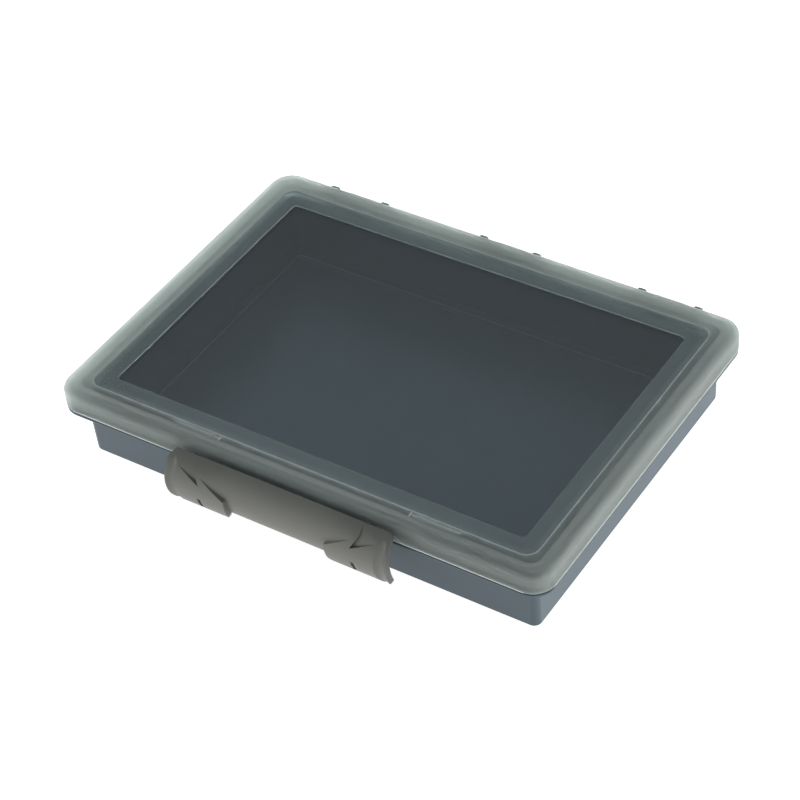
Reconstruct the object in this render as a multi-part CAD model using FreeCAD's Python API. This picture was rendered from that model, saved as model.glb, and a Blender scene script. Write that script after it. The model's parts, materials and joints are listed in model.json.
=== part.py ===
import FreeCAD, Part
import os
from math import acos, asin, atan, cos, degrees, radians, sin, sqrt

# Low assortment box: a drafted tray, a one-piece lid on three pin hinges at the back,
# and a sliding latch at the front that is also the carrying handle.
# Frame: millimetres, +X to the right seen from the front, -Y to the front, +Z up.
# The origin is on the table under the middle of the case outline, lid shut, latch shut.

V = FreeCAD.Vector

# Case outline, shared by the lid and by the tray's flange
case_w = 338.0
case_d = 245.0
case_r = 14.6

# Running and seating clearances
seam_gap = 1.1
slide_clear = 0.3
swing_clear = 0.3
knuckle_clear = 0.4
pin_seat_clear = 0.02
pin_run_clear = 0.06

# How far a cutter runs on past what it cuts
cut_over = 1.0

# Tray
tray_wall = 2.2
tray_floor = 2.2
flange_top = 41.8
flange_t = 1.5
flange_back = 0.2
wall_inset = 11.5
wall_draft = 0.8
wall_r = 5.0
lip_h = 3.8
foot_h = 3.0
foot_inset = 7.2
foot_draft = 0.8
foot_r = 4.0
edge_round = 0.8
corner_share = 0.4

# Lid: rim, band, slope, shelf and window, from the outline inwards
lid_wall = 2.2
lid_top = 57.0
rim_round = 4.7
crest_inset = 6.0
band_inset = 10.5
band_drop = 1.7
band_r = 7.0
slope_inset = 15.0
slope_w = 3.9
shelf_drop = 0.9
shelf_r = 8.0
window_inset = 27.1
window_drop = 0.8
window_r = 3.5
rim_soft = 3.0
window_t = 2.2

# Recess in the lid's front rim, over the whole travel of the latch
scoop_depth = 1.3
scoop_bend = 40.0
scoop_over = 4.0
scoop_ledge = 2.6

# Raised marks on the front band: a bar at each end of the slide and an arrow to it
mark_h = 0.2
mark_inset = 12.0
mark_gauge = 3.4
mark_left_x = -54.0
mark_right_x = 76.5
mark_bar_t = 0.9
mark_gap = 0.6
arrow_head = 5.5
arrow_shaft = 26.0
arrow_shaft_w = 1.7

# Hinges
hinge_pitch = 113.5
hinge_count = 3
hinge_out = 4.5
hinge_rise = 4.7
lug_gap = 38.6
lug_w = 4.2
lug_r = 3.7
lug_drop = 11.0
lug_reach = 3.0
knuckle_r = 2.6
pin_r = 1.25
pin_inset = 0.3
lid_open = 110.0
stop_len = 20.0
stop_back = 2.0
stop_overlap = 0.6
stop_t = 1.2
stop_gap = 0.15

# Latch: a curved shell with two raised end grips
latch_len = 153.8
latch_shut_x = -1.5
latch_travel = 23.0
latch_t = 1.8
shell_top_z = 51.4
shell_top_out = 1.9
shell_mid_z = 34.0
shell_out = 11.9
shell_low_z = 18.0
shell_low_out = 5.4
grip_mid_z = 33.0
grip_out = 14.6
grip_low_z = 15.2
grip_low_out = 7.6
grip_inner = 35.0
corner_top = 5.0
corner_low = 5.5
corner_inner = 3.0

# The back of each grip is a lining that carries the shell's bow on down to the grip's edge
lining_low_z = 15.6
lining_low_out = 7.2

# Relief of each grip, as (distance from the latch's middle, height): two facets that
# start at the level of the shell and run out into the grip, and a hollow near the end
facet_1_foot = (35.0, 34.4)
facet_1_head = (55.0, 45.4)
facet_1_back = (57.0, 46.6)
facet_2_foot = (52.6, 38.8)
facet_2_head = (73.0, 48.2)
facet_lip = 0.4
hollow_mid = 72.4
hollow_w = 7.6
hollow_deep = 2.0
hollow_up_r = 26.0
hollow_low_r = 33.0
hollow_up_turn = 80.0
hollow_low_turn = 60.0
slit_mid = 53.6
slit_w = 2.4
slit_low = 20.5
slit_high = 28.5

# Slide: a T rail under the tray's flange and the channel that grips it
rail_neck_t = 2.0
rail_bead_over = 1.0
rail_bead_h = 2.2
rail_drop = 3.1
channel_wall = 2.0
channel_lip = 1.5
rib_t = 2.0
rib_in = 14.0
rib_low_z = 22.0

# Lock: tabs on the lid, hooks on the latch
tab_count = 3
tab_w = 14.0
tab_t = 1.8
tab_out = 1.2
tab_rise = 1.2
hook_t = 2.0
hook_gap = 0.5

# Values worked out from the sizes above
half_w = case_w / 2
half_d = case_d / 2
flange_low = flange_top - flange_t
lid_low = flange_top + seam_gap
band_z = lid_top - band_drop
shelf_z = band_z - shelf_drop
window_z = shelf_z - window_drop
lip_top = flange_top + lip_h
hinge_y = half_d + hinge_out
hinge_z = flange_top + hinge_rise
front_y = -half_d
flange_front = front_y + flange_back
stop_y = hinge_y - stop_back
stop_top = hinge_z - knuckle_r - swing_clear
stop_reach = knuckle_r + swing_clear + stop_overlap
latch_half = latch_len / 2
tab_pitch = 2 * latch_travel


def box(x0, x1, y0, y1, z0, z1):
    return Part.makeBox(x1 - x0, y1 - y0, z1 - z0, V(x0, y0, z0))


def rod(radius, length, base, direction):
    return Part.makeCylinder(radius, length, base, direction)


def rounded_outline(half_x, half_y, radius, z):
    """Closed wire of a rectangle with four round corners, at height z."""
    edges = []
    corners = [(1, 1, 0), (-1, 1, 90), (-1, -1, 180), (1, -1, 270)]
    start = V(half_x, half_y - radius, z)
    for sx, sy, turn in corners:
        centre = V(sx * (half_x - radius), sy * (half_y - radius), z)
        spokes = [V(cos(radians(a)), sin(radians(a)), 0) for a in (turn, turn + 45, turn + 90)]
        first, middle, last = [centre + spoke * radius for spoke in spokes]
        if (first - start).Length > 1e-6:
            edges.append(Part.LineSegment(start, first).toShape())
        edges.append(Part.Arc(first, middle, last).toShape())
        start = last
    edges.append(Part.LineSegment(start, V(half_x, half_y - radius, z)).toShape())
    edges = edges if edges[-1].Length > 1e-6 else edges[:-1]
    return Part.Wire(edges)


def prism(half_x, half_y, radius, z0, z1):
    face = Part.Face(rounded_outline(half_x, half_y, radius, z0))
    return face.extrude(V(0, 0, z1 - z0))


def tapered(low, high):
    """Solid between two rounded outlines, each given as (half_x, half_y, radius, z)."""
    return Part.makeLoft([rounded_outline(*low), rounded_outline(*high)], True, True)


def inset_size(inset, radius, z):
    return (half_w - inset, half_d - inset, radius, z)


def plate_yz(points, x0, x1):
    """Flat plate across X whose outline is a list of (y, z)."""
    wire = Part.makePolygon([V(x0, y, z) for y, z in points + points[:1]])
    return Part.Face(wire).extrude(V(x1 - x0, 0, 0))


def plate_xz(points, y0, y1):
    """Flat plate across Y whose outline is a list of (x, z)."""
    wire = Part.makePolygon([V(x, y0, z) for x, z in points + points[:1]])
    return Part.Face(wire).extrude(V(0, y1 - y0, 0))


def hinge_centres():
    middle = (hinge_count - 1) / 2
    return [(i - middle) * hinge_pitch for i in range(hinge_count)]


# Tray
def wall_size(z, inward=0.0):
    """Half sizes, corner radius and height of the tray's wall at z, moved inward."""
    share = (flange_top - z) / (flange_top - foot_h)
    inset = wall_inset + wall_draft * share + inward
    return (half_w - inset, half_d - inset, wall_r - corner_share * inward, z)


def foot_size(z, inward=0.0):
    """The same for the foot that stands in the lid of a box below."""
    inset = wall_inset + wall_draft + foot_inset + foot_draft * (foot_h - z) / foot_h + inward
    return (half_w - inset, half_d - inset, foot_r - corner_share * inward, z)


def hinge_lug(x_mid):
    """Upright ear behind the tray's flange, with the hole that holds one pin end."""
    wall_y = half_d - wall_inset - tray_wall / 2
    flange_y = half_d - flange_back
    heel_z = flange_low - lug_drop
    outline = [
        (hinge_y + lug_r, hinge_z),
        (hinge_y + lug_r, flange_low - lug_reach),
        (wall_y, heel_z),
        (wall_y, flange_low),
        (flange_y, flange_top),
        (hinge_y - lug_r, flange_top),
        (hinge_y - lug_r, hinge_z),
    ]
    x0 = x_mid - lug_w / 2
    ear = plate_yz(outline, x0, x0 + lug_w)
    ear = ear.fuse(rod(lug_r, lug_w, V(x0, hinge_y, hinge_z), V(1, 0, 0)))
    return ear


def lid_stop(x_mid):
    """Step behind the flange, between two lugs, that the open lid comes to rest on."""
    flange_y = half_d - flange_back
    outline = [
        (flange_y - tray_wall, flange_low),
        (stop_y, flange_low),
        (stop_y, stop_top),
        (half_d + slide_clear, stop_top),
        (half_d + slide_clear, flange_top),
        (flange_y - tray_wall, flange_top),
    ]
    return plate_yz(outline, x_mid - stop_len / 2, x_mid + stop_len / 2)


def latch_rail():
    """T rail that hangs from the flange's front edge; its ends stop the latch."""
    reach = latch_half - rib_in - slide_clear
    x0 = latch_shut_x + latch_travel - reach
    x1 = latch_shut_x + reach
    neck_low = flange_low - rail_drop
    neck = box(x0, x1, flange_front, flange_front + rail_neck_t, neck_low, flange_low)
    bead = box(
        x0, x1,
        flange_front - rail_bead_over, flange_front + rail_neck_t + rail_bead_over,
        neck_low - rail_bead_h, neck_low,
    )
    return neck.fuse(bead)


def make_tray():
    ledge_z = foot_h + tray_floor
    body = tapered(wall_size(foot_h), wall_size(lip_top))
    bottom = [e for e in body.Edges if e.BoundBox.ZMax < foot_h + 0.01]
    body = body.makeFillet(edge_round, bottom)
    foot = tapered(foot_size(0), foot_size(foot_h))
    flange = prism(half_w - flange_back, half_d - flange_back, case_r - flange_back, flange_low, flange_top)
    tray = body.fuse([foot, flange, latch_rail()])
    for centre in hinge_centres():
        lugs = [hinge_lug(centre + side * lug_gap / 2) for side in (-1, 1)]
        tray = tray.fuse(lugs + [lid_stop(centre)])
    hollow = tapered(wall_size(ledge_z, tray_wall), wall_size(lip_top + cut_over, tray_wall))
    well = tapered(foot_size(tray_floor, tray_wall), foot_size(ledge_z + cut_over, tray_wall))
    tray = tray.cut(hollow.fuse(well))
    for centre in hinge_centres():
        length = lug_gap + lug_w + 2 * cut_over
        start = V(centre - length / 2, hinge_y, hinge_z)
        tray = tray.cut(rod(pin_r + pin_seat_clear, length, start, V(1, 0, 0)))
    return tray.removeSplitter()


# Lid
def scooped_outline(inset, z):
    """Lid outline at z whose front side steps back by scoop_depth behind the latch."""
    turn = acos(1 - scoop_depth / (2 * scoop_bend))
    run = scoop_bend * sin(turn)
    across = scoop_bend * sin(turn / 2)
    rise = scoop_bend * (1 - cos(turn / 2))
    left = latch_shut_x - latch_half + scoop_over
    right = latch_shut_x + latch_half + latch_travel - scoop_over
    y_out = inset - half_d
    y_in = y_out + scoop_depth
    y_mid = (y_out + y_in) / 2

    def step(x, side):
        """Two arcs that lead from the front side at x to the scoop, towards side."""
        bend = V(x + side * run, y_mid, z)
        first = Part.Arc(V(x, y_out, z), V(x + side * across, y_out + rise, z), bend)
        last = V(x + 2 * side * run, y_in, z)
        second = Part.Arc(bend, V(last.x - side * across, y_in - rise, z), last)
        return [first, second]

    plain = rounded_outline(half_w - inset, half_d - inset, case_r - inset, z)
    front = [e for e in plain.Edges if e.BoundBox.YMax < y_out + 0.001]
    rest = [e for e in plain.Edges if e.BoundBox.YMax >= y_out + 0.001]
    ends = front[0].BoundBox
    parts = step(left, 1) + step(right, -1)
    parts.append(Part.LineSegment(V(left + 2 * run, y_in, z), V(right - 2 * run, y_in, z)))
    parts.append(Part.LineSegment(V(ends.XMin, y_out, z), V(left, y_out, z)))
    parts.append(Part.LineSegment(V(right, y_out, z), V(ends.XMax, y_out, z)))
    edges = rest + [part.toShape() for part in parts]
    return Part.Wire(Part.__sortEdges__(edges))


def scooped_prism(inset, z0, z1):
    return Part.Face(scooped_outline(inset, z0)).extrude(V(0, 0, z1 - z0))


def dish(drop):
    """The space above the lid's band, shelf and window, lowered by drop."""
    crest_r = band_r + band_inset - crest_inset
    crest_z = lid_top - drop
    rim = tapered(inset_size(band_inset, band_r, band_z - drop), inset_size(crest_inset, crest_r, crest_z))
    above = prism(half_w - crest_inset, half_d - crest_inset, crest_r, crest_z, lid_top + cut_over)
    slope = tapered(
        inset_size(slope_inset + slope_w, shelf_r - slope_w / 2, shelf_z - drop),
        inset_size(slope_inset, shelf_r, band_z - drop),
    )
    window = prism(half_w - window_inset, half_d - window_inset, window_r, window_z - drop, shelf_z - drop)
    return rim.fuse([above, slope, window])


def lid_knuckle(centre):
    """Barrel between two lugs, its web to the skirt and the nose that stops the open lid."""
    length = lug_gap - lug_w - 2 * knuckle_clear
    x0 = centre - length / 2
    barrel = rod(knuckle_r, length, V(x0, hinge_y, hinge_z), V(1, 0, 0))
    web_low = stop_top + swing_clear
    web = box(x0, x0 + length, half_d - lid_wall / 2, hinge_y, web_low, hinge_z + knuckle_r)
    # The nose is placed where it meets the stop with the lid open, then turned shut
    face_y = stop_y + stop_gap
    nose = box(
        centre - stop_len / 2, centre + stop_len / 2,
        face_y, face_y + stop_t,
        hinge_z - stop_reach, hinge_z,
    )
    nose.rotate(V(0, hinge_y, hinge_z), V(1, 0, 0), lid_open)
    return barrel.fuse([web, nose])


def lid_marks():
    """A bar and an arrow that points at it from outside, left and right on the band."""
    y = front_y + mark_inset
    z0 = band_z - lid_wall / 2
    z1 = band_z + mark_h
    marks = []
    for side, bar_x in ((-1, mark_left_x), (1, mark_right_x)):
        lo, hi = sorted((bar_x, bar_x + side * mark_bar_t))
        marks.append(box(lo, hi, y - mark_gauge / 2, y + mark_gauge / 2, z0, z1))
        tip = bar_x + side * (mark_bar_t + mark_gap)
        neck = tip + side * arrow_head
        tail = neck + side * arrow_shaft
        half = arrow_shaft_w / 2
        outline = [
            (tip, y), (neck, y + mark_gauge / 2), (neck, y + half), (tail, y + half),
            (tail, y - half), (neck, y - half), (neck, y - mark_gauge / 2),
        ]
        wire = Part.makePolygon([V(px, py, z0) for px, py in outline + outline[:1]])
        marks.append(Part.Face(wire).extrude(V(0, 0, z1 - z0)))
    return marks


def lock_tabs():
    middle = (tab_count - 1) / 2
    tabs = []
    for i in range(tab_count):
        x = latch_shut_x + (i - middle) * tab_pitch
        z = lid_low + tab_rise
        tabs.append(box(x - tab_w / 2, x + tab_w / 2, front_y - tab_out, front_y + lid_wall / 2, z, z + tab_t))
    return tabs


def soft_edge(edge):
    """True for the two loops where the rim falls to the band."""
    bb = edge.BoundBox
    flat = bb.ZLength < 0.01
    at_crest = abs(bb.ZMin - lid_top) < 0.01 and on_loop(edge, crest_inset)
    at_band = abs(bb.ZMin - band_z) < 0.01 and on_loop(edge, band_inset)
    return flat and (at_crest or at_band)


def on_loop(edge, inset):
    middle = edge.valueAt((edge.FirstParameter + edge.LastParameter) / 2)
    gap_x = abs(abs(middle.x) - (half_w - inset))
    gap_y = abs(abs(middle.y) - (half_d - inset))
    return min(gap_x, gap_y) < 0.5 * band_r


def make_lid():
    ledge_z = lid_low + scoop_ledge
    body = scooped_prism(0, ledge_z, lid_top)
    crest = [e for e in body.Edges if e.BoundBox.ZMin > lid_top - 0.01]
    body = body.makeFillet(rim_round, crest)
    body = body.fuse(prism(half_w, half_d, case_r, lid_low, ledge_z))
    body = body.cut(dish(0))
    soft = [e for e in body.Edges if soft_edge(e)]
    body = body.makeFillet(rim_soft, soft)
    hollow = scooped_prism(lid_wall, lid_low - cut_over, lid_top - lid_wall)
    inner = [e for e in hollow.Edges if e.BoundBox.ZMin > lid_top - lid_wall - 0.01]
    hollow = hollow.makeFillet(rim_round - lid_wall, inner)
    body = body.cut(hollow.cut(dish(window_t)))
    body = body.fuse([lid_knuckle(c) for c in hinge_centres()] + lock_tabs() + lid_marks())
    for centre in hinge_centres():
        length = lug_gap
        start = V(centre - length / 2, hinge_y, hinge_z)
        body = body.cut(rod(pin_r + pin_run_clear, length, start, V(1, 0, 0)))
    return body.removeSplitter()


# Latch
def bow(out, top_out, low_out, mid_z, top_z, low_z):
    """Centres and radii of the two arcs of a bowed section that meet at its most forward point."""
    rise = out - top_out
    fall = out - low_out
    r_up = (rise**2 + (top_z - mid_z) ** 2) / (2 * rise)
    r_low = (fall**2 + (mid_z - low_z) ** 2) / (2 * fall)
    return (front_y - out + r_up, r_up), (front_y - out + r_low, r_low)


def bow_points(section, inward, ends):
    """Seven points along a bowed section moved inward, from its top edge to its low edge."""
    (c_up, r_up), (c_low, r_low) = bow(*section)
    mid_z = section[3]
    top_turn, low_turn = ends
    points = []
    for share in (1.0, 0.5, 0.0):
        a = top_turn * share
        points.append((c_up - (r_up - inward) * cos(a), mid_z + (r_up - inward) * sin(a)))
    for share in (0.5, 1.0):
        a = low_turn * share
        points.append((c_low - (r_low - inward) * cos(a), mid_z - (r_low - inward) * sin(a)))
    return points


def bow_turns(section):
    (c_up, r_up), (c_low, r_low) = bow(*section)
    mid_z, top_z, low_z = section[3:]
    return asin((top_z - mid_z) / r_up), asin((mid_z - low_z) / r_low)


def bow_edges(points, x):
    p = [V(x, y, z) for y, z in points]
    return [Part.Arc(p[0], p[1], p[2]).toShape(), Part.Arc(p[2], p[3], p[4]).toShape()]


def bow_slab(outer_section, inner_section, outward, inward, x0, x1):
    """Solid along X between one bowed section moved outward and another moved inward."""
    outer = bow_points(outer_section, -outward, bow_turns(outer_section))
    inner = bow_points(inner_section, inward, bow_turns(inner_section))
    edges = bow_edges(outer, x0) + bow_edges(inner, x0)
    for a, b in ((outer[0], inner[0]), (outer[-1], inner[-1])):
        edges.append(Part.LineSegment(V(x0, *a), V(x0, *b)).toShape())
    face = Part.Face(Part.Wire(Part.__sortEdges__(edges)))
    return face.extrude(V(x1 - x0, 0, 0))


shell_section = (shell_out, shell_top_out, shell_low_out, shell_mid_z, shell_top_z, shell_low_z)
grip_section = (grip_out, shell_top_out, grip_low_out, grip_mid_z, shell_top_z, grip_low_z)
lining_section = (shell_out, shell_top_out, lining_low_out, shell_mid_z, shell_top_z, lining_low_z)


def front_plate(half_u, z0, z1, r_low, r_top):
    """Plate through the whole latch: its front view with four round corners."""
    k = 1 - sqrt(0.5)
    edges = []
    corners = [
        (V(half_u, 0, z0), V(-1, 0, 0), V(0, 0, 1), r_low),
        (V(half_u, 0, z1), V(0, 0, -1), V(-1, 0, 0), r_top),
        (V(-half_u, 0, z1), V(1, 0, 0), V(0, 0, -1), r_top),
        (V(-half_u, 0, z0), V(0, 0, 1), V(1, 0, 0), r_low),
    ]
    arcs = []
    for corner, before, after, r in corners:
        points = [corner + before * r, corner + (before + after) * (r * k), corner + after * r]
        arcs.append(points)
    for i, points in enumerate(arcs):
        edges.append(Part.Arc(*points).toShape())
        edges.append(Part.LineSegment(points[2], arcs[(i + 1) % 4][0]).toShape())
    plate = Part.Face(Part.Wire(edges)).extrude(V(0, 3 * grip_out, 0))
    return plate.translated(V(0, front_y - 2 * grip_out, 0))


def facet(side, foot, head, region):
    """Cutter outside a copy of the shell that is turned out to meet the grip near head."""
    turn = atan((grip_out - shell_out - facet_lip) / (head[0] - foot[0]))
    lo, hi = sorted((side * (foot[0] - corner_inner), side * (head[0] + corner_inner)))
    cutter = bow_slab(shell_section, shell_section, grip_out, 0, lo, hi)
    cutter.rotate(V(side * foot[0], front_y - shell_out, 0), V(0, 0, 1), -side * degrees(turn))
    points = [(side * u, z) for u, z in region]
    return cutter.common(plate_xz(points, front_y - 2 * grip_out, front_y))


def end_hollow(side):
    """Round groove near the grip's end, deepest at mid height; it runs out above and below."""
    c_up = front_y - grip_out + hollow_up_r
    c_low = front_y - grip_out + hollow_low_r
    r = ((hollow_w / 2) ** 2 + hollow_deep**2) / (2 * hollow_deep)
    centre = V(side * hollow_mid, front_y - grip_out - r + hollow_deep, grip_mid_z)
    disc = Part.Face(Part.Wire(Part.makeCircle(r, centre, V(0, 0, 1))))
    up = disc.revolve(V(0, c_up, grip_mid_z), V(1, 0, 0), -hollow_up_turn)
    down = disc.revolve(V(0, c_low, grip_mid_z), V(1, 0, 0), hollow_low_turn)
    return up.fuse(down)


def make_grip(side):
    """One raised end of the latch with its two facets."""
    lo, hi = sorted((side * grip_inner, side * latch_half))
    grip = bow_slab(grip_section, lining_section, 0, latch_t, lo, hi)
    top = shell_top_z + cut_over
    start = facet_1_foot[0] - cut_over
    meet = facet_1_back[0]
    region_1 = [facet_1_foot, facet_1_head, facet_1_back, (meet, top), (start, top), (start, facet_1_foot[1])]
    region_2 = [facet_2_foot, facet_2_head, (facet_2_head[0], top), (meet, top), facet_1_back]
    grip = grip.cut(facet(side, facet_1_foot, facet_1_head, region_1))
    grip = grip.cut(facet(side, facet_2_foot, facet_2_head, region_2))
    # Slanted inner corner at the bottom
    u0 = grip_inner - cut_over
    u1 = grip_inner
    u2 = grip_inner + corner_inner
    z0 = grip_low_z - cut_over
    z2 = grip_low_z + 2 * corner_inner
    corner = [(u0, z0), (u2, z0), (u2, grip_low_z), (u1, z2), (u0, z2)]
    points = [(side * u, z) for u, z in corner]
    return grip.cut(plate_xz(points, front_y - 2 * grip_out, front_y))


def latch_channel():
    """Channel along the back of the shell that grips the tray's rail."""
    bead_front = flange_front - rail_bead_over - slide_clear
    bead_back = flange_front + rail_neck_t + rail_bead_over + slide_clear
    bead_top = flange_low - rail_drop + slide_clear
    bead_low = flange_low - rail_drop - rail_bead_h - slide_clear
    low = bead_low - channel_wall
    front = bead_front - channel_wall
    back = bead_back + channel_wall
    top = bead_top + channel_lip
    reach = latch_half - rib_in + rib_t
    floor_front = front_y - shell_out + latch_t / 2
    channel = box(-reach, reach, front, back, low, top)
    channel = channel.fuse(box(-reach, reach, floor_front, front, low, bead_low))
    throat_front = flange_front - slide_clear
    throat_back = flange_front + rail_neck_t + slide_clear
    run = latch_half - rib_in
    hollow = box(-run, run, bead_front, bead_back, bead_low, bead_top)
    throat = box(-run, run, throat_front, throat_back, bead_low, top + cut_over)
    return channel.cut(hollow.fuse(throat))


def latch_rib(side):
    """Plate across the latch near one end, from the shell to the channel."""
    lo, hi = sorted((side * (latch_half - rib_in), side * (latch_half - rib_in + rib_t)))
    bead_low = flange_low - rail_drop - rail_bead_h - slide_clear
    rib_front = flange_front - rail_bead_over - slide_clear
    plate = box(lo, hi, front_y - shell_out, rib_front, rib_low_z, lid_low)
    inside = bow_slab(lining_section, lining_section, -latch_t / 2, 2 * shell_out, lo, hi)
    return plate.common(inside)


def latch_hooks():
    """Hooks that pass over the lid's tabs; they end short of the path of the lid."""
    z = lid_low + tab_rise + tab_t + hook_gap
    y_back = front_y - tab_out - swing_clear
    middle = (tab_count - 1) / 2
    inside = bow_slab(shell_section, shell_section, -latch_t / 2, 2 * shell_out, -latch_half, latch_half)
    hooks = []
    for i in range(tab_count):
        x = (i - middle) * tab_pitch
        hook = box(x - tab_w / 2, x + tab_w / 2, front_y - shell_out, y_back, z, z + hook_t)
        hooks.append(hook.common(inside))
    return hooks


def make_latch():
    reach = grip_inner + corner_inner
    shell = bow_slab(shell_section, shell_section, 0, latch_t, -reach, reach)
    skin = shell.fuse([make_grip(-1), make_grip(1)])
    skin = skin.common(front_plate(latch_half, grip_low_z, shell_top_z, corner_low, corner_top))
    for side in (-1, 1):
        lo, hi = sorted((side * slit_mid - slit_w / 2, side * slit_mid + slit_w / 2))
        slit = box(lo, hi, front_y - 2 * grip_out, front_y, slit_low, slit_high)
        skin = skin.cut(end_hollow(side).fuse(slit))
    latch = skin.fuse([latch_channel(), latch_rib(-1), latch_rib(1)] + latch_hooks())
    return latch.removeSplitter().translated(V(latch_shut_x, 0, 0))


# Pins
def make_pin(centre):
    length = lug_gap + lug_w - 2 * pin_inset
    return rod(pin_r, length, V(centre - length / 2, hinge_y, hinge_z), V(1, 0, 0))


def main():
    os.makedirs("parts", exist_ok=True)
    nodes = {"tray": make_tray(), "lid": make_lid(), "latch": make_latch()}
    for name, centre in zip(("left", "middle", "right"), hinge_centres()):
        nodes["hinge_pin_" + name] = make_pin(centre)
    for name, shape in nodes.items():
        shape.exportStep("parts/" + name + ".step")
        box_size = shape.BoundBox
        print(name, len(shape.Solids), "solid", shape.isValid(), round(shape.Volume), box_size)


main()
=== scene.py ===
# %% [markdown]
# # A low organizer box, dressed for its portrait
#
# The box is three plastic mouldings and three steel pins: a dark tray, a clear lid with a frosted
# rim, and a warm grey latch that is also the handle. Its shapes and its motion come from the packed
# model, which is loaded first and never moved. This notebook gives every piece its finish.

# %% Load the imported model
import json
import math
import bmesh
import bpy
from mathutils import Matrix, Vector

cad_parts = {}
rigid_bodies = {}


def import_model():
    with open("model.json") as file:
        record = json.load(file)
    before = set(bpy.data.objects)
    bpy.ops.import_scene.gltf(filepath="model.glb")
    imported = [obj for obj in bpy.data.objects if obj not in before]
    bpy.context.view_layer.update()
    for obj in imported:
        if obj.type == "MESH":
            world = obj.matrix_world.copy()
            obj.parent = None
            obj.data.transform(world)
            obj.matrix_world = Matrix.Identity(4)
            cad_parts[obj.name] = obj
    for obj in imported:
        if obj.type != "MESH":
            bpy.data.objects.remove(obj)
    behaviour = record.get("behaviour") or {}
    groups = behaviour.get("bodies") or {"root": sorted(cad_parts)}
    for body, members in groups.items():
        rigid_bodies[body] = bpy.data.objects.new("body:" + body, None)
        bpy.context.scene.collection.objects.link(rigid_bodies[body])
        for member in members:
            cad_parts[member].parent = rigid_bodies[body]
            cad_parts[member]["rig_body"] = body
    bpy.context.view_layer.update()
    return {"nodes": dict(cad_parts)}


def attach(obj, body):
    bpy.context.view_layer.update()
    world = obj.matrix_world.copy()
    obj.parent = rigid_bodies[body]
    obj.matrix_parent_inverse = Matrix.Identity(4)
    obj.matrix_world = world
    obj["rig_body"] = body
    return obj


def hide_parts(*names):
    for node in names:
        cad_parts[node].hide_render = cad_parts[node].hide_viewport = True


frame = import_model()

# %% [markdown]
# ## Sizes
#
# Everything here is in metres, in the frame of the model: +X right, -Y front, +Z up, and the
# origin on the table under the middle of the case. The lid's zones are found by these sizes:
# the window is the flat middle, the shelf lies round it up to a fine ridge, and the rest is the
# frosted rim. The last lines are small widths for edges, and tolerances for finding them.

# %% Name the sizes that the finishes need
MM = 0.001
CASE_W = 338 * MM
CASE_D = 245 * MM
WINDOW_INSET = 27.1 * MM
RIDGE_INSET = 15.0 * MM
WINDOW_TOP = 53.6 * MM
SHELF_TOP = 54.4 * MM
BAND_TOP = 55.3 * MM
LID_LOW = 42.9 * MM
LID_SKIN = 3 * MM
LEDGE_TOP = 5.2 * MM
MARK_Y = -110.5 * MM
MARK_GAUGE = 3.4 * MM
MARK_REACH = 120 * MM
EDGE_ROUND = 0.35 * MM
# The next three are widths of narrow strips that carry a painted highlight.
LINE_WIDTH = 0.25 * MM
OUTLINE = 0.4 * MM
HEM = 0.7 * MM
WELD = 0.004 * MM
NEAR = 0.01 * MM
SLACK = 0.1 * MM
FLAT_TURN = math.radians(0.6)
SLIGHT_TURN = math.radians(6)
ROUND_TURN = math.radians(28)
# The last slot holds the painted highlight of the lid's thin lines.
RIM_SLOT, SHELF_SLOT, WINDOW_SLOT, PAINTED_HIGHLIGHT_SLOT = range(4)
window_half = Vector((CASE_W / 2 - WINDOW_INSET, CASE_D / 2 - WINDOW_INSET))
shelf_half = Vector((CASE_W / 2 - RIDGE_INSET, CASE_D / 2 - RIDGE_INSET))
print("window", tuple(round(2000 * v, 1) for v in window_half), "mm")

# %% [markdown]
# ## Soft edges
#
# A moulded edge is never sharp: the tool leaves a radius of a few tenths of a millimetre, and that
# radius is what catches the light. The model's edges are exact and sharp, so each moulding gets a
# finished copy. The copy is welded, its flat regions are joined into single faces, and a Bevel
# modifier rounds what turns by more than an angle. The copy stands for the model's own piece.
#
# Where the clear lid turns only slightly, a thin light line shows instead of a rounding. These
# lines are narrow faces of their own with a painted highlight, a light colour for the light that
# such an
# edge catches: a flat along the ridge, a rim round each raised mark, and a hem along the skirt's
# lower edge.

# %% Find edges by where they lie
def on_marks(point):
    """True where the raised marks stand on the front band."""
    return abs(point.y - MARK_Y) < MARK_GAUGE / 2 + SLACK / 2 and abs(point.x) < MARK_REACH


def lies_at(edge, heights):
    """True where both ends of an edge lie at one of the heights."""
    return all(any(abs(v.co.z - z) < NEAR for z in heights) for v in edge.verts)


def inset_of(edge):
    """How far an edge lies inside the case's outline, seen from above."""
    return min(CASE_W / 2 - max(abs(v.co.x) for v in edge.verts),
               CASE_D / 2 - max(abs(v.co.y) for v in edge.verts))


# %% Draw the thin lines of a moulding
def draw_lines(work, ridges, cuts):
    """Level cuts at the given heights, a narrow flat on the ridges, a rim round raised marks."""
    for height in cuts:
        everything = work.verts[:] + work.edges[:] + work.faces[:]
        bmesh.ops.bisect_plane(work, geom=everything, plane_co=(0, 0, height), plane_no=(0, 0, 1))
    # The narrow flats on the ridges and the rims round the marks carry a painted highlight: a light
    # colour for the light their edges catch.
    bmesh.ops.bevel(work, geom=ridges, offset=LINE_WIDTH, segments=1, profile=0.5,
                    affect="EDGES", material=PAINTED_HIGHLIGHT_SLOT)
    tops = [f for f in work.faces if f.normal.z > 0.95
            and all(on_marks(v.co) and v.co.z > BAND_TOP + SLACK for v in f.verts)]
    if tops:
        rims = bmesh.ops.inset_region(work, faces=tops, thickness=OUTLINE, use_even_offset=True)
        for face in rims["faces"]:
            face.material_index = PAINTED_HIGHLIGHT_SLOT
        print(len(tops), "raised marks with", len(rims["faces"]), "faces round them")


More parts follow.
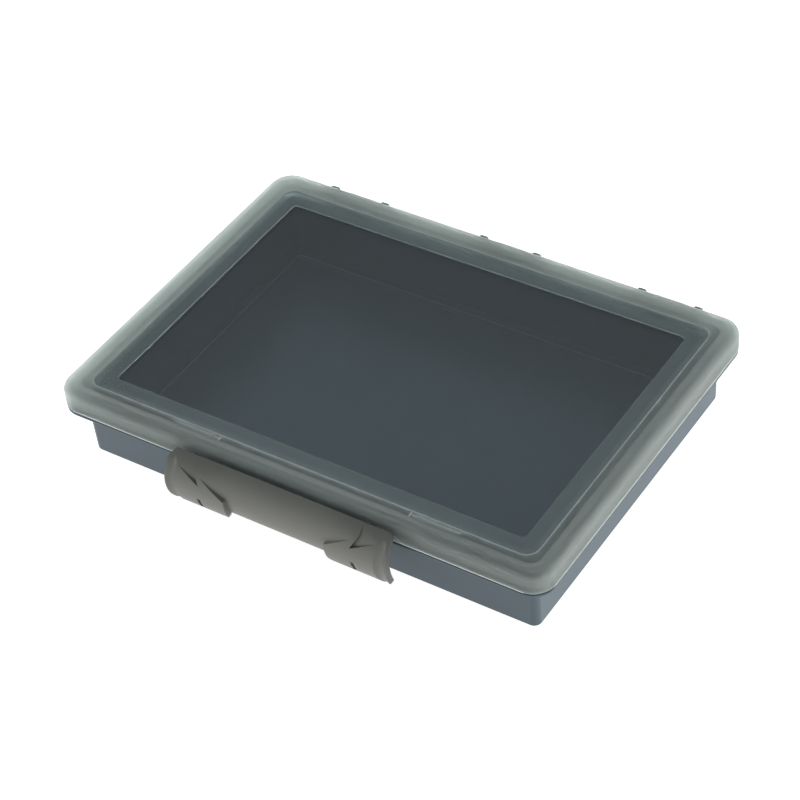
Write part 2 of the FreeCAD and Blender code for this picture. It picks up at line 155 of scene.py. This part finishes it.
# %% Make a finished copy of a piece
def finished_copy(node, name, crisp=(), lined=(), cuts=()):
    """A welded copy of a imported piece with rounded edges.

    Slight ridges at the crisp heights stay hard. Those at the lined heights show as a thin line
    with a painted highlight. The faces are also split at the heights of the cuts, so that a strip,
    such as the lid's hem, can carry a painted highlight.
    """
    source = frame["nodes"][node]
    mesh = source.data.copy()
    mesh.name = name
    mesh.materials.clear()
    mesh.shade_smooth()
    piece = bpy.data.objects.new(name, mesh)
    bpy.context.scene.collection.objects.link(piece)
    work = bmesh.new()
    work.from_mesh(mesh)
    bmesh.ops.remove_doubles(work, verts=work.verts, dist=WELD)
    bmesh.ops.dissolve_limit(work, angle_limit=FLAT_TURN, verts=work.verts, edges=work.edges)
    ridges = []
    for edge in work.edges:
        if SLIGHT_TURN < edge.calc_face_angle(0.0) < ROUND_TURN:
            if lies_at(edge, crisp):
                edge.smooth = False
            if lies_at(edge, lined) and inset_of(edge) > RIDGE_INSET - SLACK:
                ridges.append(edge)
    print(name, len(ridges), "ridge edges")
    draw_lines(work, ridges, cuts)
    # The raised marks are too low for a rounded edge
    weight = work.edges.layers.float.new("bevel_weight_edge")
    for edge in work.edges:
        on_mark = all(on_marks(v.co) and v.co.z > BAND_TOP - NEAR for v in edge.verts)
        if edge.calc_face_angle(0.0) > ROUND_TURN and not on_mark:
            edge[weight] = 1.0
    work.to_mesh(mesh)
    work.free()
    bevel = piece.modifiers.new("edge_round", "BEVEL")
    bevel.width = EDGE_ROUND
    bevel.segments = 2
    bevel.limit_method = "WEIGHT"
    bevel.use_clamp_overlap = True
    flat = piece.modifiers.new("flat_stays_flat", "WEIGHTED_NORMAL")
    flat.mode = "FACE_AREA"
    flat.weight = 100
    flat.keep_sharp = True
    depsgraph = bpy.context.evaluated_depsgraph_get()
    rounded = bpy.data.meshes.new_from_object(piece.evaluated_get(depsgraph))
    piece.modifiers.clear()
    piece.data = rounded
    rounded.name = name
    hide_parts(node)
    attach(piece, source["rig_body"])
    print(name, len(rounded.polygons), "faces")
    return piece


tray = finished_copy("tray", "tray_finished")
# The cut just above the lid's lower edge makes the hem strip that carries a painted highlight.
lid = finished_copy("lid", "lid_finished", crisp=(SHELF_TOP,), lined=(BAND_TOP,),
                    cuts=(LID_LOW + HEM,))
latch = finished_copy("latch", "latch_finished")

# %% [markdown]
# ## Shared effects
#
# Two effects appear on more than one plastic, so each is a node group: a fine spark-eroded grain,
# which is a height for a Bump node, and a mottling, which varies colour and gloss a little.

# %% Build the shared effects
def new_group(name, inputs, outputs):
    """An empty shader group with float inputs as (name, value) and outputs as (name, kind)."""
    tree = bpy.data.node_groups.new(name, "ShaderNodeTree")
    for label, value in inputs:
        socket = tree.interface.new_socket(label, in_out="INPUT", socket_type="NodeSocketFloat")
        socket.default_value = value
    for label, kind in outputs:
        tree.interface.new_socket(label, in_out="OUTPUT", socket_type=kind)
    return tree, tree.nodes.new("NodeGroupInput"), tree.nodes.new("NodeGroupOutput")


def place(tree, kind, **settings):
    """A node with the values of its properties and unlinked sockets set by name."""
    node = tree.nodes.new(kind)
    for key, value in settings.items():
        if hasattr(node, key):
            setattr(node, key, value)
        else:
            node.inputs[key.replace("_", " ")].default_value = value
    return node


def build_grain():
    """A fine even noise, as a height."""
    tree, given, out = new_group("moulded_grain", [("Scale", 2500.0)],
                                 [("Height", "NodeSocketFloat")])
    coords = place(tree, "ShaderNodeTexCoord")
    noise = place(tree, "ShaderNodeTexNoise", Detail=2.0, Roughness=0.6)
    tree.links.new(coords.outputs["Object"], noise.inputs["Vector"])
    tree.links.new(given.outputs["Scale"], noise.inputs["Scale"])
    tree.links.new(noise.outputs["Fac"], out.inputs["Height"])
    return tree


def build_mottle():
    """Broad soft patches, as a mask from 0 to 1."""
    tree, given, out = new_group("mottle", [("Scale", 25.0)], [("Mask", "NodeSocketFloat")])
    coords = place(tree, "ShaderNodeTexCoord")
    noise = place(tree, "ShaderNodeTexNoise", Detail=5.0, Roughness=0.62)
    ramp = place(tree, "ShaderNodeMapRange")
    ramp.inputs["From Min"].default_value = 0.3
    ramp.inputs["From Max"].default_value = 0.7
    tree.links.new(coords.outputs["Object"], noise.inputs["Vector"])
    tree.links.new(given.outputs["Scale"], noise.inputs["Scale"])
    tree.links.new(noise.outputs["Fac"], ramp.inputs["Value"])
    tree.links.new(ramp.outputs["Result"], out.inputs["Mask"])
    return tree


grain_group = build_grain()
mottle_group = build_mottle()
print("groups:", [g.name for g in bpy.data.node_groups])

# %% [markdown]
# ## Plastics
#
# Each plastic is one Principled shader. What is the same all over the surface is set on its own
# sockets; the groups only vary colour, roughness and the bump. The lid is clear plastic that lets
# light through: polished in the window, lightly etched on the shelf, and strongly on the rim.

# %% Write the material maker
def srgb(r, g, b):
    """A colour written as 0-255 screen values, as the shader's linear colour."""
    def linear(v):
        v = v / 255
        return v / 12.92 if v <= 0.04045 else ((v + 0.055) / 1.055) ** 2.4
    return (linear(r), linear(g), linear(b), 1.0)


def plastic(name, dark, light, rough, grain, grain_depth, mottle=25.0, **constants):
    """A moulded plastic whose colour and gloss drift between two values."""
    material = bpy.data.materials.new(name)
    material.use_nodes = True
    tree = material.node_tree
    shader = tree.nodes["Principled BSDF"]
    patches = place(tree, "ShaderNodeGroup", node_tree=mottle_group)
    patches.inputs["Scale"].default_value = mottle
    colour = place(tree, "ShaderNodeMix", data_type="RGBA")
    colour.inputs["A"].default_value = dark
    colour.inputs["B"].default_value = light
    gloss = place(tree, "ShaderNodeMapRange")
    gloss.inputs["To Min"].default_value = rough[0]
    gloss.inputs["To Max"].default_value = rough[1]
    texture = place(tree, "ShaderNodeGroup", node_tree=grain_group)
    texture.inputs["Scale"].default_value = grain
    bump = place(tree, "ShaderNodeBump")
    bump.inputs["Strength"].default_value = 1.0
    bump.inputs["Distance"].default_value = grain_depth
    tree.links.new(patches.outputs["Mask"], colour.inputs["Factor"])
    tree.links.new(patches.outputs["Mask"], gloss.inputs["Value"])
    tree.links.new(colour.outputs["Result"], shader.inputs["Base Color"])
    tree.links.new(gloss.outputs["Result"], shader.inputs["Roughness"])
    tree.links.new(texture.outputs["Height"], bump.inputs["Height"])
    tree.links.new(bump.outputs["Normal"], shader.inputs["Normal"])
    for socket, value in constants.items():
        shader.inputs[socket.replace("_", " ")].default_value = value
    return material


tray_plastic = plastic(
    "tray_plastic", srgb(70, 85, 94), srgb(74, 89, 98), (0.3, 0.38), 1500.0, 0.01 * MM)
latch_plastic = plastic(
    "latch_plastic", srgb(114, 113, 107), srgb(119, 118, 112), (0.42, 0.5), 1800.0, 0.015 * MM)
pin_steel = plastic(
    "pin_steel", srgb(150, 150, 150), srgb(165, 165, 165), (0.25, 0.35), 3000.0, 0.002 * MM,
    Metallic=1.0)
window_clear = plastic(
    "window_clear", srgb(211, 223, 230), srgb(214, 226, 233), (0.03, 0.05), 60.0, 0.004 * MM,
    Transmission_Weight=1.0, IOR=1.4)
rim_frosted = plastic(
    "rim_frosted", srgb(208, 214, 211), srgb(214, 219, 216), (0.84, 0.92), 1500.0, 0.02 * MM,
    Transmission_Weight=0.9, IOR=1.5, Specular_IOR_Level=0.3, Sheen_Weight=0.6,
    Sheen_Roughness=0.3)
shelf_frosted = plastic(
    "shelf_frosted", srgb(179, 193, 195), srgb(185, 199, 200), (0.2, 0.26), 1500.0, 0.0005 * MM,
    Transmission_Weight=0.8, IOR=1.45)
# A painted highlight: a near-white colour on the lid's thin lines that stands for the light their
# edges catch.
lid_painted_highlight = plastic(
    "lid_painted_highlight", srgb(228, 234, 232), srgb(234, 240, 238), (0.3, 0.36), 1500.0, 0.005 * MM,
    Transmission_Weight=0.1, IOR=1.5)
# A painted highlight on the tray's rounded step at the ledge, for the light its edge catches.
tray_painted_highlight = plastic(
    "tray_painted_highlight", srgb(196, 204, 210), srgb(202, 210, 216), (0.2, 0.26), 1500.0, 0.005 * MM)
print("materials:", [m.name for m in bpy.data.materials])

# %% [markdown]
# ## Which face gets which finish
#
# The lid is one moulding whose tool is polished under the window and etched everywhere else. So it
# keeps one mesh, and each face takes a finish by where it lies. The thin lines take a painted
# highlight, a light colour that stands for the light an edge of clear plastic gathers. So does the
# rounded step in the tray, which is the fine line that one sees through the window.

# %% Give each piece its finish
def wear(piece, *materials):
    for material in materials:
        piece.data.materials.append(material)


wear(tray, tray_plastic, tray_painted_highlight)
# The narrow rounded step at the ledge takes slot 1, the painted highlight of the fine line seen
# through the window.
for face in tray.data.polygons:
    heights = [tray.data.vertices[i].co.z for i in face.vertices]
    narrow = max(heights) - min(heights) < EDGE_ROUND
    if narrow and abs(max(heights) - LEDGE_TOP) < NEAR and 0.1 < face.normal.z < 0.95:
        face.material_index = 1
wear(latch, latch_plastic)
for side in ("left", "middle", "right"):
    pin = frame["nodes"]["hinge_pin_" + side]
    pin.data.materials.clear()
    wear(pin, pin_steel)

# %% Give each face of the lid its finish
def lid_slot(face):
    """The slot that a face of the lid takes by where it lies."""
    corners = [lid.data.vertices[i].co for i in face.vertices]
    reach_x = max(abs(c.x) for c in corners)
    reach_y = max(abs(c.y) for c in corners)
    low = min(c.z for c in corners)
    high = max(c.z for c in corners)
    level = abs(face.normal.z) > 0.95
    # The hem along the skirt's lower edge, the sides of the raised marks and the rounded step round
    # the window take the painted highlight slot.
    if low < WINDOW_TOP - LID_SKIN:
        outermost = reach_x > CASE_W / 2 - SLACK or reach_y > CASE_D / 2 - SLACK
        return PAINTED_HIGHLIGHT_SLOT if outermost and high < LID_LOW + HEM + NEAR else RIM_SLOT
    if not level and low > BAND_TOP - NEAR and all(on_marks(c) for c in corners):
        return PAINTED_HIGHLIGHT_SLOT
    leaning = 0.05 < abs(face.normal.z) < 0.99
    at_shelf = low > SHELF_TOP - 1.1 * EDGE_ROUND and high < SHELF_TOP + NEAR
    if leaning and at_shelf and reach_x < window_half.x + 1.2 * EDGE_ROUND:
        return PAINTED_HIGHLIGHT_SLOT
    if reach_x < window_half.x + SLACK and reach_y < window_half.y + SLACK:
        return WINDOW_SLOT if level else SHELF_SLOT
    if reach_x < shelf_half.x + SLACK and reach_y < shelf_half.y + SLACK:
        return SHELF_SLOT
    return RIM_SLOT


# The fourth slot is the painted highlight of the lid's thin lines.
wear(lid, rim_frosted, shelf_frosted, window_clear, lid_painted_highlight)
for face in lid.data.polygons:
    if face.material_index != PAINTED_HIGHLIGHT_SLOT:
        face.material_index = lid_slot(face)
print("bright faces on the lid", sum(f.material_index == PAINTED_HIGHLIGHT_SLOT for f in lid.data.polygons))

# %% [markdown]
# ## Studio
#
# The box stands on white paper in a white room. The camera looks from the right front corner,
# a good way up, slightly rolled, as a hand-held shot is. Low and wide softboxes at both sides
# graze the lid's frosted rim, so that it turns pale at its outer edge.

# %% Set up the camera
AZIMUTH = math.radians(36.228)
ELEVATION = math.radians(41.899)
ROLL = math.radians(-5.5854)
DISTANCE = 1479.23 * MM
LOOK_AT = Vector((2.616, -8.141, 28.0)) * MM
LENS = 110.339
back = Vector((math.sin(AZIMUTH) * math.cos(ELEVATION),
               -math.cos(AZIMUTH) * math.cos(ELEVATION),
               math.sin(ELEVATION)))
level = (-back).cross(Vector((0, 0, 1))).normalized()
upright = level.cross(-back)
across = math.cos(ROLL) * level + math.sin(ROLL) * upright
above = -math.sin(ROLL) * level + math.cos(ROLL) * upright
camera_data = bpy.data.cameras.new("camera")
camera_data.lens = LENS
camera_data.sensor_width = 36
camera_data.sensor_fit = "HORIZONTAL"
camera_data.clip_start = 0.05
camera = bpy.data.objects.new("camera", camera_data)
bpy.context.scene.collection.objects.link(camera)
placing = Matrix((across, above, back)).transposed().to_4x4()
placing.translation = LOOK_AT + back * DISTANCE
camera.matrix_world = placing
bpy.context.scene.camera = camera
print("camera at", tuple(round(v, 3) for v in placing.translation))

# %% Lay the floor and light it
def stage_plane(name, size, height):
    """A square level plane of the studio, which isn't part of the box."""
    mesh = bpy.data.meshes.new(name)
    half = size / 2
    corners = [(-half, -half), (half, -half), (half, half), (-half, half)]
    mesh.from_pydata([(x, y, height) for x, y in corners], [], [(0, 1, 2, 3)])
    plane = bpy.data.objects.new(name, mesh)
    bpy.context.scene.collection.objects.link(plane)
    return plane


def paper(name, shade, glow, lift):
    """White paper that glows, and more to the camera, so that only a shadow shows on it."""
    material = bpy.data.materials.new(name)
    material.use_nodes = True
    tree = material.node_tree
    shader = tree.nodes["Principled BSDF"]
    shader.inputs["Base Color"].default_value = (shade, shade, shade, 1)
    shader.inputs["Roughness"].default_value = 0.9
    shader.inputs["Specular IOR Level"].default_value = 0.0
    shader.inputs["Emission Color"].default_value = (1, 1, 1, 1)
    path = place(tree, "ShaderNodeLightPath")
    seen = place(tree, "ShaderNodeMath", operation="MAXIMUM")
    tree.links.new(path.outputs["Is Camera Ray"], seen.inputs[0])
    tree.links.new(path.outputs["Is Transmission Ray"], seen.inputs[1])
    strength = place(tree, "ShaderNodeMapRange")
    strength.inputs["To Min"].default_value = glow
    strength.inputs["To Max"].default_value = glow + lift
    tree.links.new(seen.outputs["Value"], strength.inputs["Value"])
    tree.links.new(strength.outputs["Result"], shader.inputs["Emission Strength"])
    return material


floor = stage_plane("floor", 30.0, 0.0)
wear(floor, paper("floor_paper", 0.85, 0.8, 0.1))
print("floor", tuple(round(v) for v in floor.dimensions), "m")

# %% [markdown]
# The room is the world. To the camera it is plain white. To the box it is a slightly cool light,
# bright near the horizon and dimmer overhead, with a pale card high up and another at floor level,
# both behind on the left. The window mirrors the upper part, which makes it look dark.

# %% Build the room
def ramp(tree, value, start, end, low, high):
    """An output that goes smoothly from low to high while a value goes from start to end."""
    step = place(tree, "ShaderNodeMapRange", interpolation_type="SMOOTHSTEP")
    for label, number in zip(("From Min", "From Max", "To Min", "To Max"), (start, end, low, high)):
        step.inputs[label].default_value = number
    tree.links.new(value, step.inputs["Value"])
    return step.outputs["Result"]


def combine(tree, operation, first, second):
    """The output of a math node on two outputs."""
    node = place(tree, "ShaderNodeMath", operation=operation)
    tree.links.new(first, node.inputs[0])
    tree.links.new(second, node.inputs[1])
    return node.outputs["Value"]


def build_world():
    """A room that is bright low down, most of all behind on the left, and dim overhead."""
    world = bpy.data.worlds.new("studio")
    world.use_nodes = True
    tree = world.node_tree
    sky = tree.nodes["Background"]
    coords = place(tree, "ShaderNodeTexCoord")
    parts = place(tree, "ShaderNodeSeparateXYZ")
    tree.links.new(coords.outputs["Generated"], parts.inputs["Vector"])
    height = parts.outputs["Z"]
    towards = place(tree, "ShaderNodeVectorMath", operation="DOT_PRODUCT")
    towards.inputs[1].default_value = (-0.75, 0.66, 0.0)
    tree.links.new(coords.outputs["Generated"], towards.inputs[0])
    side = ramp(tree, towards.outputs["Value"], 0.1, 0.9, 0.0, 1.0)
    around = ramp(tree, height, 0.05, 0.42, 0.95, 0.24)
    narrow = ramp(tree, towards.outputs["Value"], 0.9, 0.99, 0.0, 1.0)
    low_card = combine(tree, "MULTIPLY", narrow, ramp(tree, height, 0.0, 0.15, 1.4, 0.0))
    card_top = ramp(tree, height, 0.74, 0.88, 1.0, 0.0)
    high_card = combine(tree, "MULTIPLY", side, ramp(tree, height, 0.58, 0.72, 0.34, 0.7))
    high_card = combine(tree, "MULTIPLY", high_card, card_top)
    glow = combine(tree, "ADD", around, combine(tree, "ADD", low_card, high_card))
    path = place(tree, "ShaderNodeLightPath")
    shown = place(tree, "ShaderNodeMix", data_type="FLOAT")
    tree.links.new(path.outputs["Is Camera Ray"], shown.inputs["Factor"])
    tree.links.new(glow, shown.inputs["A"])
    shown.inputs["B"].default_value = 1.0
    tree.links.new(shown.outputs["Result"], sky.inputs["Strength"])
    daylight = place(tree, "ShaderNodeMix", data_type="RGBA")
    daylight.inputs["A"].default_value = (0.9, 0.985, 1.0, 1)
    daylight.inputs["B"].default_value = (1, 1, 1, 1)
    tree.links.new(path.outputs["Is Camera Ray"], daylight.inputs["Factor"])
    tree.links.new(daylight.outputs["Result"], sky.inputs["Color"])
    return world


bpy.context.scene.world = build_world()
print("world:", bpy.context.scene.world.name)

# %% Hang the softboxes
def softbox(name, place_at, aim_at, size, power):
    """A rectangular lamp with its place, aim and size in metres and its power in watts."""
    lamp = bpy.data.lights.new(name, "AREA")
    lamp.shape = "RECTANGLE"
    lamp.size = size[0]
    lamp.size_y = size[1]
    lamp.energy = power
    box = bpy.data.objects.new(name, lamp)
    bpy.context.scene.collection.objects.link(box)
    box.location = place_at
    box.rotation_euler = (Vector(place_at) - Vector(aim_at)).to_track_quat("Z", "Y").to_euler()
    return box


softbox("right_light", (1.6, 0.5, 0.25), (0, 0, 0.03), (1.0, 0.4), 15.0)
softbox("left_light", (-1.6, 0.3, 0.11), (0, 0, 0.05), (1.2, 0.18), 25.0)
softbox("front_light", (-0.7, -0.6, 0.2), (-0.17, -0.12, 0.04), (0.3, 0.2), 0.5)
bpy.context.scene.view_settings.view_transform = "Standard"
print("lamps:", sorted(lamp.name for lamp in bpy.data.lights))
